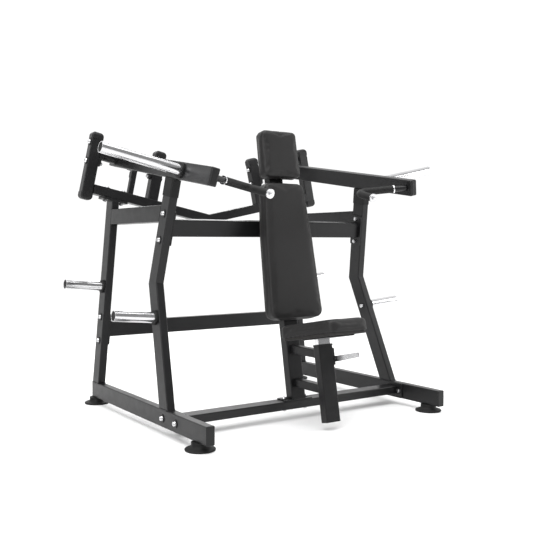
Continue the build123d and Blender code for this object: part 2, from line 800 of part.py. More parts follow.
# ---------------------------------------------------------------- spine and seat mount
spine_mid_f = spine_front_f - spine_depth / 2
with BuildPart() as spine_post:
    with BuildSketch(local_plane(seat, (0, spine_mid_f, -spine_depth * 2), (1, 0, 0), (0, 0, 1))):
        tube_section(spine_width, spine_depth)
    extrude(amount=spine_top + spine_depth * 2)
    split(bisect_by=Plane.XY.offset(foot_plate_top), keep=Keep.TOP)
    drill(pad_bolts, bolt_hole, spine_depth + 1)
write(spine_post, "spine_post")

beam_centre = lean.from_local_coords((upright_y(front_beam_v), front_beam_v, tube_mid))
beam_front = Plane(origin=(0, beam_centre.Y, front_beam_z), z_dir=(0, -upper_dir[1], upper_dir[0]))
bracket_a = seat.to_local_coords(Vector(0, beam_centre.Y, front_beam_z)).Z
with BuildPart() as spine_bracket:
    with BuildSketch(local_plane(seat, (0, spine_rear_f, bracket_a), (1, 0, 0), (0, -1, 0))):
        tube_section(spine_bracket_size, spine_bracket_size)
    extrude(amount=tube_depth)
    split(bisect_by=beam_front.offset(tube_width / 2), keep=Keep.TOP)
write(spine_bracket, "spine_bracket")

sleeve_rear_f = -seat_sleeve_depth / 2
with BuildPart() as seat_links:
    for z in (lower_link_z, upper_link_z):
        with BuildSketch(Plane(origin=(0, seat_axis_y, z), x_dir=(1, 0, 0), z_dir=(0, 1, 0))):
            tube_section(link_size, link_size)
        extrude(amount=-2 * spine_front_f)
    split(bisect_by=local_plane(seat, (0, sleeve_rear_f, 0), (1, 0, 0), (0, -1, 0)), keep=Keep.TOP)
    split(bisect_by=local_plane(seat, (0, spine_front_f, 0), (1, 0, 0), (0, 1, 0)), keep=Keep.TOP)
write(seat_links, "seat_links")

release_face = local_plane(seat, (-seat_sleeve_width / 2, 0, release_along), (0, 0, 1), (-1, 0, 0))
bracket_screws = [
    local_plane(seat, (-seat_sleeve_width / 2 - bracket_thick, side * bracket_screw_half, bracket_screw_along),
                (0, 1, 0), (-1, 0, 0))
    for side in (-1, 1)
]
with BuildPart() as seat_sleeve:
    with BuildSketch(local_plane(seat, (0, 0, seat_sleeve_bottom), (1, 0, 0), (0, 0, 1))):
        tube_section(seat_sleeve_width, seat_sleeve_depth)
    extrude(amount=seat_sleeve_top - seat_sleeve_bottom)
    drill([release_face], pin_radius + pin_clearance, tube_wall + 1)
    drill(bracket_screws, bracket_screw_radius + thread_gap, bracket_thick + tube_wall + 1)
write(seat_sleeve, "seat_sleeve")

bushing_width = seat_sleeve_width - 2 * tube_wall
bushing_depth = seat_sleeve_depth - 2 * tube_wall
with BuildPart() as sleeve_bushing:
    with BuildSketch(local_plane(seat, (0, 0, seat_sleeve_top), (1, 0, 0), (0, 0, 1))):
        RectangleRounded(seat_sleeve_width + 2 * bushing_wall, seat_sleeve_depth + 2 * bushing_wall, tube_corner)
    extrude(amount=bushing_lip)
    with BuildSketch(local_plane(seat, (0, 0, seat_sleeve_top), (1, 0, 0), (0, 0, 1))):
        RectangleRounded(bushing_width - 2 * weld_gap, bushing_depth - 2 * weld_gap, tube_corner - tube_wall)
    extrude(amount=-bushing_insert)
    with BuildSketch(local_plane(seat, (0, 0, seat_sleeve_top - bushing_insert), (1, 0, 0), (0, 0, 1))):
        Rectangle(bushing_width - 2 * bushing_wall, bushing_depth - 2 * bushing_wall)
    extrude(amount=bushing_insert + bushing_lip, mode=Mode.SUBTRACT)
write(sleeve_bushing, "sleeve_bushing")

# ---------------------------------------------------------------- seat
post_width_x = bushing_width - 2 * bushing_wall - 2 * seat_post_gap
post_depth_f = bushing_depth - 2 * bushing_wall - 2 * seat_post_gap
post_hole_planes = [
    local_plane(seat, (-post_width_x / 2, 0, release_along - hole_pitch * step), (0, 1, 0), (-1, 0, 0))
    for step in range(hole_count)
]
with BuildPart() as seat_post:
    with BuildSketch(local_plane(seat, (0, 0, seat_post_bottom), (1, 0, 0), (0, 0, 1))):
        tube_section(post_width_x, post_depth_f, seat_post_wall, seat_post_wall + 1)
    extrude(amount=seat_plate_under - seat_post_bottom)
    drill(post_hole_planes, pin_radius + post_hole_gap, seat_post_wall + 1)
write(seat_post, "seat_post")

seat_mid_f = (seat_front_f + seat_rear_f) / 2
with BuildPart() as seat_plate:
    with BuildSketch(local_plane(seat, (0, seat_mid_f, seat_plate_under), (1, 0, 0), (0, 0, 1))):
        RectangleRounded(seat_plate_width, seat_plate_length, 8)
    extrude(amount=seat_plate_thick)
write(seat_plate, "seat_plate")


def cushion_outline(rows, corner, inset=0.0):
    """A cushion's rounded outline from rows of (half width, distance), in the open sketch."""
    right = [(half, along_pad) for half, along_pad in rows]
    left = [(-half, along_pad) for half, along_pad in reversed(rows)]
    Polygon(*right, *left, align=None)
    fillet(vertices(), corner)
    if inset:
        offset(amount=-inset, mode=Mode.REPLACE)


seat_rows = ((seat_rear_half, seat_rear_f), (seat_front_half, seat_front_f))
board_bottom = seat_plate_under + seat_plate_thick
with BuildPart() as seat_board:
    with BuildSketch(local_plane(seat, (0, 0, board_bottom), (1, 0, 0), (0, 0, 1))):
        cushion_outline(seat_rows, seat_corner, board_inset)
    extrude(amount=board_thick)
write(seat_board, "seat_board")

seat_pad_bottom = board_bottom + board_thick
with BuildPart() as seat_pad:
    with BuildSketch(local_plane(seat, (0, 0, seat_pad_bottom), (1, 0, 0), (0, 0, 1))):
        cushion_outline(seat_rows, seat_corner)
    extrude(amount=seat_pad_thick)
    fillet(faces().sort_by(Axis(seat.origin, seat.z_dir))[-1].edges(), pad_edge)
write(seat_pad, "seat_pad")

# ---------------------------------------------------------------- back and head pads
back_rows = ((back_bottom_half, back_pad_bottom), (back_waist_half, back_pad_waist), (back_top_half, back_pad_top))
head_rows = ((head_bottom_half, head_pad_bottom), (head_top_half, head_pad_top))
board_plane = local_plane(seat, (0, spine_front_f, 0), (-1, 0, 0), (0, 1, 0))
with BuildPart() as pad_boards:
    for rows, corner in ((back_rows, back_corner), (head_rows, head_corner)):
        with BuildSketch(board_plane):
            cushion_outline(rows, corner, board_inset)
        extrude(amount=board_thick)
    drill([plane.offset(-spine_depth + 1) for plane in pad_bolts], bolt_radius + thread_gap, thread_depth + 2)
write(pad_boards, "pad_boards")


def back_cushion(rows, corner, thick):
    """A cushion on the front of its board, with rounded front edges, in the open part."""
    with BuildSketch(board_plane.offset(board_thick)) as outline:
        cushion_outline(rows, corner)
    extrude(outline.sketch, amount=thick)
    fillet(faces().sort_by(Axis(board_plane.origin, board_plane.z_dir))[-1].edges(), pad_edge)


with BuildPart() as back_pad:
    back_cushion(back_rows, back_corner, back_pad_thick)
write(back_pad, "back_pad")

with BuildPart() as head_pad:
    back_cushion(head_rows, head_corner, head_pad_thick)
write(head_pad, "head_pad")

# ---------------------------------------------------------------- seat release
lever_low = release_along - lever_height / 2
pivot_plane = local_plane(seat, (-seat_sleeve_width / 2 - release_pivot_out, release_pivot_f, lever_low),
                          (0, 1, 0), (0, 0, 1))
ear_low = -lever_gap - bracket_thick
ear_high = lever_height + lever_gap
face_out = -release_pivot_out + bracket_thick
with BuildPart() as release_bracket:
    with BuildSketch(release_face):
        with Locations(((bracket_low + bracket_high) / 2 - release_along, (bracket_front + bracket_rear) / 2)):
            RectangleRounded(bracket_high - bracket_low, bracket_front - bracket_rear, 4)
    extrude(amount=bracket_thick)
    for level in (ear_low, ear_high):
        with BuildSketch(pivot_plane.offset(level)):
            Circle(lever_boss_radius)
            with Locations((0, face_out / 2)):
                Rectangle(2 * lever_boss_radius, -face_out)
        extrude(amount=bracket_thick)
    discs([pivot_plane], release_pivot_radius, ear_low, ear_high + bracket_thick - ear_low)
    drill([release_face.offset(bracket_thick)], pin_radius + pin_clearance, bracket_thick + 1)
    drill(bracket_screws, bracket_screw_radius + bolt_clearance, bracket_thick + 1)
write(release_bracket, "release_bracket")

lever_tip = (lever_tip_f - release_pivot_f, lever_tip_out - release_pivot_out)
with BuildPart() as release_lever:
    with BuildSketch(pivot_plane):
        Circle(lever_boss_radius)
        round_bar((0, 0), (lever_knee, 0), lever_thick)
        round_bar((lever_knee, 0), lever_tip, lever_thick)
        Circle(release_pivot_radius + 2 * shaft_gap, mode=Mode.SUBTRACT)
    extrude(amount=lever_height + lever_rise)
    side = local_plane(pivot_plane, (0, 0, 0), (1, 0, 0), (0, 1, 0))
    with BuildSketch(side):
        Polygon((-lever_boss_radius, 0), (lever_knee, 0), (lever_tip[0] + lever_thick, -lever_rise - 3),
                (lever_tip[0] + lever_thick, -lever_rise - lever_height + 3), (lever_knee, -lever_height),
                (-lever_boss_radius, -lever_height), align=None)
    extrude(amount=lever_tip_f, both=True, mode=Mode.INTERSECT)
    with BuildSketch(side):
        with Locations((-release_pivot_f + pin_slot_shift, -lever_height / 2)):
            SlotOverall(pin_slot, 2 * (pin_radius + post_hole_gap))
    extrude(amount=lever_thick, both=True, mode=Mode.SUBTRACT)
write(release_lever, "release_lever")

pin_low = (post_width_x - seat_sleeve_width) / 2 + pin_rest_gap
collar_low = release_pivot_out + lever_thick / 2 + pin_collar_gap
with BuildPart() as lock_pin:
    discs([release_face], pin_radius, pin_low, collar_low - pin_low)
    discs([release_face], pin_collar_radius, collar_low, pin_collar_thick)
write(lock_pin, "lock_pin")

# ---------------------------------------------------------------- fasteners
beam_grip = tube_width + flange_thick
clamped = (
    (front_beam_bolts + rear_beam_bolts + base_beam_bolts, beam_grip),
    (vee_bolts, plate_stack),
    (outer_post_bolts + inner_post_bolts, post_width + housing_flange),
)


def bolts_at(planes, reach):
    """Button head bolts that reach a distance down from each plane, in the open part."""
    discs(planes, bolt_head_radius, washer_thick, bolt_head_height, taper=bolt_head_taper)
    discs(planes, bolt_radius, washer_thick, -reach - washer_thick)
    hexes(planes, bolt_socket, washer_thick + bolt_head_height, -bolt_socket, mode=Mode.SUBTRACT)


def washers_at(planes, radius):
    """Flat washers on each plane, in the open part."""
    discs(planes, radius, 0, washer_thick)
    discs(planes, bolt_hole, 0, washer_thick, mode=Mode.SUBTRACT)


def nuts_at(planes, grip):
    """Nuts under the clamped length below each plane, in the open part."""
    hexes(planes, nut_radius, -grip, -nut_height)
    discs(planes, bolt_radius + thread_gap, -grip, -nut_height, mode=Mode.SUBTRACT)


nut_reach = nut_height + thread_stand_out
with BuildPart() as frame_bolts:
    for planes, grip in clamped:
        bolts_at(planes, grip + nut_reach)
    bolts_at(horn_bolts, tube_width + thread_depth)
    mirror(about=Plane.YZ)
    bolts_at(foot_bolts, beam_grip + nut_reach)
    bolts_at(pad_bolts, spine_depth + thread_depth)
    discs(bracket_screws, bracket_screw_head, 0, bracket_screw_radius, taper=bolt_head_taper)
    discs(bracket_screws, bracket_screw_radius, 0, -bracket_thick - tube_wall / 2)
write(frame_bolts, "frame_bolts")

with BuildPart() as frame_washers:
    for planes, grip in clamped:
        washers_at(planes, washer_radius)
    washers_at(horn_bolts, small_washer_radius)
    mirror(about=Plane.YZ)
    washers_at(foot_bolts + pad_bolts, small_washer_radius)
write(frame_washers, "frame_washers")

with BuildPart() as frame_nuts:
    for planes, grip in clamped:
        nuts_at(planes, grip)
    mirror(about=Plane.YZ)
    nuts_at(foot_bolts, beam_grip)
write(frame_nuts, "frame_nuts")
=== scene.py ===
"""Looks for a plate-loaded overhead press machine: finishes, stitched pads, beads and studio."""

import logging
import math
from dataclasses import dataclass, field
from enum import Enum
from typing import ClassVar

import bmesh
import bpy
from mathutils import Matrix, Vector
from mathutils.bvhtree import BVHTree

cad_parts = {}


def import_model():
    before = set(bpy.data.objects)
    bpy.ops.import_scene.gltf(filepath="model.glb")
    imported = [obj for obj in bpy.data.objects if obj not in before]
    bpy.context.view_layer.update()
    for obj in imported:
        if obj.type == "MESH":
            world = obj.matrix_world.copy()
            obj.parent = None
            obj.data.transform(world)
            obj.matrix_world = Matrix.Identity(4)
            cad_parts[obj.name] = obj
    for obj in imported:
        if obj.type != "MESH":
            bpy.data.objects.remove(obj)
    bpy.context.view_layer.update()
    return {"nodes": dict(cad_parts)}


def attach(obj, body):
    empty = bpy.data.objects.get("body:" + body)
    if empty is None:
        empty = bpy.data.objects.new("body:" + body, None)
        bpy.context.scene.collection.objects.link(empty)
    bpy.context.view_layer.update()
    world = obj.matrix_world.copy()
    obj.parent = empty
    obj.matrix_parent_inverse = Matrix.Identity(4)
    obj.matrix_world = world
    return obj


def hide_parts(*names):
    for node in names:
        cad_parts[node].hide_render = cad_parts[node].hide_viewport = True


logging.basicConfig(level=logging.INFO, format="%(message)s")
log = logging.getLogger("press_machine")

Color = tuple[float, float, float]
Place = tuple[float, float, float]

# how far the seat and its pads lean back, and the ways that their soft faces look
RECLINE = math.radians(10.3)
PAD_FACING = Vector((0.0, -math.cos(RECLINE), math.sin(RECLINE)))
SEAT_FACING = Vector((0.0, math.sin(RECLINE), math.cos(RECLINE)))
# the levels that the uprights and the spine stand on, in metres
RAIL_TOP = 0.115
SPINE_FOOT = 0.101
# an angle that leaves no edge sharp, in degrees
ALL_SMOOTH = 180.0
# points closer than this are one point, in metres
SAME_POINT = 1e-6


class Grain(Enum):
    """The small-scale relief that a finish has."""

    POWDER = "powder"
    VINYL = "vinyl"
    CAST = "cast"
    LATHE = "lathe"
    RUBBER = "rubber"
    WOOD = "wood"


@dataclass(frozen=True)
class Finish:
    """One surface finish, built as a node material.

    Args:
        name: the material's name.
        color: linear base colour.
        roughness: middle roughness.
        metallic: 0 for paint, plastic and rubber, 1 for bare metal.
        drift: how far the colour wanders either way, as a share of itself.
        spread: how far roughness wanders either way.
        grain: the kind of small relief.
        grain_scale: how fine the relief is, in cycles a metre.
        grain_depth: the relief's height, in metres.
        rounding: radius by which sharp edges catch the light, in metres.
        coat: weight of a clear top coat.
        painted_edge_highlight: how much lighter the edges are painted, as a painted highlight.
        shine: the specular level.
    """

    name: str
    color: Color
    roughness: float
    metallic: float = 0.0
    drift: float = 0.12
    spread: float = 0.05
    grain: Grain = Grain.POWDER
    grain_scale: float = 700.0
    grain_depth: float = 0.00004
    rounding: float = 0.0
    coat: float = 0.0
    painted_edge_highlight: float = 0.0
    shine: float = 0.5


class Finishes:
    """Every finish of the machine, built once each."""

    # PAINT and CAST have their edges painted lighter, as a painted highlight
    PAINT = Finish("satin black powder coat", (0.0072, 0.0072, 0.0078), 0.36, grain_scale=900.0,
                   grain_depth=0.00006, rounding=0.0014, coat=0.02, painted_edge_highlight=0.5, shine=0.30)
    CAST = Finish("black cast housing", (0.0070, 0.0070, 0.0075), 0.46, grain=Grain.CAST,
                  grain_scale=420.0, grain_depth=0.00018, rounding=0.0015, painted_edge_highlight=0.4, shine=0.30)
    CHROME = Finish("polished chrome", (0.66, 0.66, 0.67), 0.17, 1.0, drift=0.05, grain=Grain.LATHE,
                    grain_scale=900.0, grain_depth=0.00001, rounding=0.0008)
    STEEL = Finish("bright turned steel", (0.55, 0.55, 0.56), 0.30, 1.0, drift=0.08,
                   grain=Grain.LATHE, grain_depth=0.00003, rounding=0.0008)
    ZINC = Finish("cast lever chrome", (0.62, 0.62, 0.63), 0.24, 1.0, drift=0.08, grain=Grain.CAST,
                  grain_scale=260.0, grain_depth=0.00008, rounding=0.0025)
    ALUMINIUM = Finish("polished aluminium", (0.78, 0.78, 0.79), 0.20, 1.0, drift=0.05,
                       grain=Grain.LATHE, grain_scale=800.0, grain_depth=0.00002, rounding=0.0012)
    WASHER = Finish("black washer", (0.008, 0.008, 0.008), 0.40, rounding=0.0006, shine=0.3)
    RUBBER = Finish("black rubber", (0.0065, 0.0065, 0.0065), 0.66, drift=0.2, grain=Grain.RUBBER,
                    grain_scale=520.0, grain_depth=0.00014, rounding=0.0018, shine=0.3)
    PLASTIC = Finish("black moulded plastic", (0.0075, 0.0075, 0.008), 0.42, grain=Grain.CAST,
                     grain_scale=800.0, grain_depth=0.00007, rounding=0.0016, shine=0.3)
    VINYL = Finish("black vinyl", (0.0098, 0.0093, 0.0094), 0.50, drift=0.10, spread=0.06,
                   grain=Grain.VINYL, grain_scale=420.0, grain_depth=0.00012, shine=0.34)
    THREAD = Finish("black thread", (0.016, 0.0155, 0.015), 0.75, grain=Grain.RUBBER,
                    grain_scale=1600.0)
    BOARD = Finish("black stained board", (0.010, 0.0088, 0.0080), 0.70, grain=Grain.WOOD,
                   grain_scale=60.0, grain_depth=0.0002, rounding=0.001)
    FLOOR = Finish("pale studio floor", (0.93, 0.93, 0.93), 0.62, drift=0.008, spread=0.03,
                   grain=Grain.RUBBER, grain_scale=90.0, grain_depth=0.00005)

    _built: ClassVar[dict[str, bpy.types.Material]] = {}

    @classmethod
    def get(cls, finish: Finish) -> bpy.types.Material:
        """Returns the finish's material, built the first time it is asked for.

        Args:
            finish: which finish.

        Returns:
            The node material.
        """
        if finish.name not in cls._built:
            cls._built[finish.name] = MaterialMaker(finish).make()
        return cls._built[finish.name]


@dataclass
class MaterialMaker:
    """Builds one node material from a finish.

    Args:
        finish: what to build.
    """

    # cycles a metre of the patches in which colour, roughness and the painted edge highlight wander
    COLOR_PATCH = 9.0
    ROUGH_PATCH = 23.0
    HIGHLIGHT_PATCH = 40.0
    # the middle of a noise, which is mapped onto a range
    NOISE_LOW = 0.3
    NOISE_HIGH = 0.7
    # how far vinyl's cells are pushed about, in metres, and how fine the push is beside them
    CELL_PUSH = (0.002, 0.002, 0.002)
    PUSH_SCALE = 0.6
    # the scale of a drawn-out relief along each axis
    STRETCH: ClassVar[dict[Grain, tuple[float, float, float]]] = {
        Grain.LATHE: (1.0, 0.06, 0.06),
        Grain.WOOD: (0.1, 1.0, 1.0),
    }
    CAST_DETAIL = 5.0
    FINE_DETAIL = 2.0
    COAT_ROUGHNESS = 0.25
    BEVEL_SAMPLES = 4
    # where the painted edge highlight starts and is full, as the cosine between the true and the
    # rounded normal
    HIGHLIGHT_START = 0.995
    HIGHLIGHT_FULL = 0.8
    # the lighter colour that the coat is painted towards along edges, a painted highlight
    HIGHLIGHT_COLOR = (0.05, 0.05, 0.052, 1.0)

    finish: Finish
    tree: bpy.types.NodeTree = field(init=False)

    def node(self, kind: str, **inputs: float | Color) -> bpy.types.Node:
        """Adds a node and sets its named inputs.

        Args:
            kind: the node's type name.
            inputs: values by input name, with underscores for spaces.

        Returns:
            The node.
        """
        node = self.tree.nodes.new(kind)
        for name, value in inputs.items():
            node.inputs[name.replace("_", " ")].default_value = value
        return node

    def link(self, source: bpy.types.NodeSocket, target: bpy.types.NodeSocket) -> None:
        """Joins two sockets.

        Args:
            source: an output.
            target: an input.
        """
        self.tree.links.new(source, target)

    def spread(self, source: bpy.types.NodeSocket, low: float,
               high: float) -> bpy.types.NodeSocket:
        """Maps the middle of a noise onto a range.

        Args:
            source: a noise output.
            low: value at the dark end.
            high: value at the light end.

        Returns:
            The mapped output.
        """
        ranged = self.node("ShaderNodeMapRange", From_Min=self.NOISE_LOW, From_Max=self.NOISE_HIGH,
                           To_Min=low, To_Max=high)
        self.link(source, ranged.inputs["Value"])
        return ranged.outputs["Result"]

    def noise(self, coords: bpy.types.NodeSocket, scale: float,
              detail: float = 3.0) -> bpy.types.NodeSocket:
        """A noise in object space.

        Args:
            coords: the coordinates to read.
            scale: cycles a metre.
            detail: how many finer layers it has.

        Returns:
            The noise's value.
        """
        noise = self.node("ShaderNodeTexNoise", Scale=scale, Detail=detail, Roughness=0.55)
        self.link(coords, noise.inputs["Vector"])
        return noise.outputs["Fac"]

    def relief(self, coords: bpy.types.NodeSocket) -> bpy.types.NodeSocket:
        """The finish's small relief as a height from 0 to 1.

        Args:
            coords: the coordinates to read.

        Returns:
            The height output.
        """
        finish = self.finish
        if finish.grain is Grain.VINYL:
            cells = self.node("ShaderNodeTexVoronoi", Scale=finish.grain_scale)
            cells.feature = "DISTANCE_TO_EDGE"
            warp = self.node("ShaderNodeVectorMath")
            warp.operation = "MULTIPLY_ADD"
            jitter = self.node("ShaderNodeTexNoise", Scale=finish.grain_scale * self.PUSH_SCALE,
                               Detail=self.FINE_DETAIL)
            self.link(coords, jitter.inputs["Vector"])
            self.link(jitter.outputs["Color"], warp.inputs[0])
            warp.inputs[1].default_value = self.CELL_PUSH
            self.link(coords, warp.inputs[2])
            self.link(warp.outputs["Vector"], cells.inputs["Vector"])
            return self.spread(cells.outputs["Distance"], 0.0, 1.0)
        if finish.grain in self.STRETCH:
            stretch = self.node("ShaderNodeMapping", Scale=self.STRETCH[finish.grain])
            self.link(coords, stretch.inputs["Vector"])
            return self.noise(stretch.outputs["Vector"], finish.grain_scale, self.FINE_DETAIL)
        detail = self.CAST_DETAIL if finish.grain is Grain.CAST else self.FINE_DETAIL
        return self.noise(coords, finish.grain_scale, detail)

    def make(self) -> bpy.types.Material:
        """Builds the material.

        Returns:
            The finished material.
        """
        finish = self.finish
        material = bpy.data.materials.new(finish.name)
        material.use_nodes = True
        self.tree = material.node_tree
        self.tree.nodes.clear()
        output = self.node("ShaderNodeOutputMaterial")
        shader = self.node("ShaderNodeBsdfPrincipled", Metallic=finish.metallic,
                           Coat_Weight=finish.coat, Coat_Roughness=self.COAT_ROUGHNESS,
                           Specular_IOR_Level=finish.shine)
        self.link(shader.outputs["BSDF"], output.inputs["Surface"])
        coords = self.node("ShaderNodeTexCoord").outputs["Object"]

        mix = self.node("ShaderNodeMix")
        mix.data_type = "RGBA"
        dark = tuple(c * (1 - finish.drift) for c in finish.color)
        light = tuple(min(1.0, c * (1 + finish.drift)) for c in finish.color)
        mix.inputs["A"].default_value = (*dark, 1.0)
        mix.inputs["B"].default_value = (*light, 1.0)
        patches = self.noise(coords, self.COLOR_PATCH)
        self.link(self.spread(patches, 0.0, 1.0), mix.inputs["Factor"])
        color = mix.outputs["Result"]

        rough = self.spread(self.noise(coords, self.ROUGH_PATCH, 5.0),
                            finish.roughness - finish.spread, finish.roughness + finish.spread)
        self.link(rough, shader.inputs["Roughness"])

        bump = self.node("ShaderNodeBump", Strength=1.0, Distance=finish.grain_depth)
        self.link(self.relief(coords), bump.inputs["Height"])
        if finish.rounding:
            bevel = self.node("ShaderNodeBevel", Radius=finish.rounding)
            bevel.samples = self.BEVEL_SAMPLES
            self.link(bevel.outputs["Normal"], bump.inputs["Normal"])
            # the edges are painted lighter here, as a painted highlight
            if finish.painted_edge_highlight:
                color = self.paint_edge_highlight(color, bevel.outputs["Normal"], coords)
        self.link(color, shader.inputs["Base Color"])
        self.link(bump.outputs["Normal"], shader.inputs["Normal"])
        return material

    def paint_edge_highlight(self, color: bpy.types.NodeSocket, rounded: bpy.types.NodeSocket,
               coords: bpy.types.NodeSocket) -> bpy.types.NodeSocket:
        """Paints a highlight along edges: lightens the coat a little there, in uneven patches.

        Args:
            color: the coat's own colour.
            rounded: the normal with rounded edges.
            coords: the coordinates to read.

        Returns:
            The colour with its painted edge highlight.
        """
        flat = self.node("ShaderNodeNewGeometry")
        dot = self.node("ShaderNodeVectorMath")
        dot.operation = "DOT_PRODUCT"
        self.link(flat.outputs["Normal"], dot.inputs[0])
        self.link(rounded, dot.inputs[1])
        edge = self.node("ShaderNodeMapRange", From_Min=self.HIGHLIGHT_START, From_Max=self.HIGHLIGHT_FULL,
                         To_Min=0.0, To_Max=self.finish.painted_edge_highlight)
        self.link(dot.outputs["Value"], edge.inputs["Value"])
        highlight_mask = self.node("ShaderNodeMath")
        highlight_mask.operation = "MULTIPLY"
        self.link(edge.outputs["Result"], highlight_mask.inputs[0])
        self.link(self.spread(self.noise(coords, self.HIGHLIGHT_PATCH), 0.2, 1.0), highlight_mask.inputs[1])
        mix = self.node("ShaderNodeMix")
        mix.data_type = "RGBA"
        mix.inputs["B"].default_value = self.HIGHLIGHT_COLOR
        self.link(highlight_mask.outputs["Value"], mix.inputs["Factor"])
        self.link(color, mix.inputs["A"])
        return mix.outputs["Result"]


def wear(obj: bpy.types.Object, finish: Finish, sharp: float = 32.0) -> None:
    """Gives an object its finish and smooth shading between sharp edges.

    Args:
        obj: the mesh object.
        finish: the finish it takes.
        sharp: the angle, in degrees, above which an edge stays sharp.
    """
    mesh = obj.data
    mesh.materials.clear()
    mesh.materials.append(Finishes.get(finish))
    mesh.polygons.foreach_set("use_smooth", [True] * len(mesh.polygons))
    mesh.set_sharp_from_angle(angle=math.radians(sharp))


def add_object(name: str, data: bpy.types.ID) -> bpy.types.Object:
    """Puts a mesh, a light or a camera in the scene, at the origin.

    Args:
        name: the object's name.
        data: its mesh, light or camera.

    Returns:
        The object.
    """
    obj = bpy.data.objects.new(name, data)
    bpy.context.scene.collection.objects.link(obj)
    return obj


def evaluated_copy(obj: bpy.types.Object, name: str) -> bpy.types.Mesh:
    """A plain mesh of an object with its modifiers applied.

    Args:
        obj: the object.
        name: the new mesh's name.

    Returns:
        The mesh.
    """
    graph = bpy.context.evaluated_depsgraph_get()
    mesh = bpy.data.meshes.new_from_object(obj.evaluated_get(graph), depsgraph=graph)
    mesh.name = name
    return mesh


def section_loops(source: bpy.types.Mesh, point: Vector,
                  normal: Vector) -> list[list[Vector]]:
    """The closed outlines where a plane cuts a mesh, longest first.

    Args:
        source: the mesh to cut.
        point: a point on the plane.
        normal: the plane's normal.

    Returns:
        Each outline as its points in order.
    """
    work = bmesh.new()
    work.from_mesh(source)
    cut = bmesh.ops.bisect_plane(work, geom=work.verts[:] + work.edges[:] + work.faces[:],
                                 dist=SAME_POINT, plane_co=point, plane_no=normal)["geom_cut"]
    edges = {e for e in cut if isinstance(e, bmesh.types.BMEdge)}
    loops = []
    while edges:
        edge = edges.pop()
        first, tip = edge.verts
        points = [first.co.copy(), tip.co.copy()]
        while True:
            onward = next((e for e in tip.link_edges if e in edges), None)
            if onward is None:
                break
            edges.remove(onward)
            tip = onward.other_vert(tip)
            points.append(tip.co.copy())
        if (points[0] - points[-1]).length < SAME_POINT:
            points.pop()
        loops.append(points)
    work.free()
    return sorted(loops, key=loop_length, reverse=True)


def loop_length(points: list[Vector]) -> float:
    """The length round a closed outline.

    Args:
        points: its points in order.

    Returns:
        The length in metres.
    """
    return sum((a - b).length for a, b in zip(points, points[1:] + points[:1]))


def even_loop(points: list[Vector], count: int) -> list[Vector]:
    """The same closed outline with evenly spaced points.

    Args:
        points: its points in order.
        count: how many points to return.

    Returns:
        The new points.
    """
    step = loop_length(points) / count
    spaced = []
    due = 0.0
    walked = 0.0
    for a, b in zip(points, points[1:] + points[:1]):
        length = (b - a).length
        while due < walked + length and len(spaced) < count:
            spaced.append(a.lerp(b, (due - walked) / length))
            due += step
        walked += length
    return spaced


def tube_mesh(name: str, points: list[Vector], radius: float, sides: int = 8) -> bpy.types.Mesh:
    """A closed tube round a closed outline.

    Args:
        name: the mesh's name.
        points: the outline's points in order.
        radius: the tube's radius.
        sides: how many sides its section has.

    Returns:
        The mesh.
    """
    centre = sum(points, Vector()) / len(points)
    count = len(points)
    verts = []
    for i, point in enumerate(points):
        tangent = (points[(i + 1) % count] - points[i - 1]).normalized()
        out = point - centre
        out = (out - tangent * out.dot(tangent)).normalized()
        side = tangent.cross(out)
        for k in range(sides):
            turn = 2 * math.pi * k / sides
            verts.append(point + radius * (math.cos(turn) * out + math.sin(turn) * side))
    faces = []
    for i in range(count):
        j = (i + 1) % count
        for k in range(sides):
            m = (k + 1) % sides
            faces.append((i * sides + k, i * sides + m, j * sides + m, j * sides + k))
    mesh = bpy.data.meshes.new(name)
    mesh.from_pydata(verts, [], faces)
    work = bmesh.new()
    work.from_mesh(mesh)
    bmesh.ops.recalc_face_normals(work, faces=work.faces[:])
    work.to_mesh(mesh)
    work.free()
    return mesh


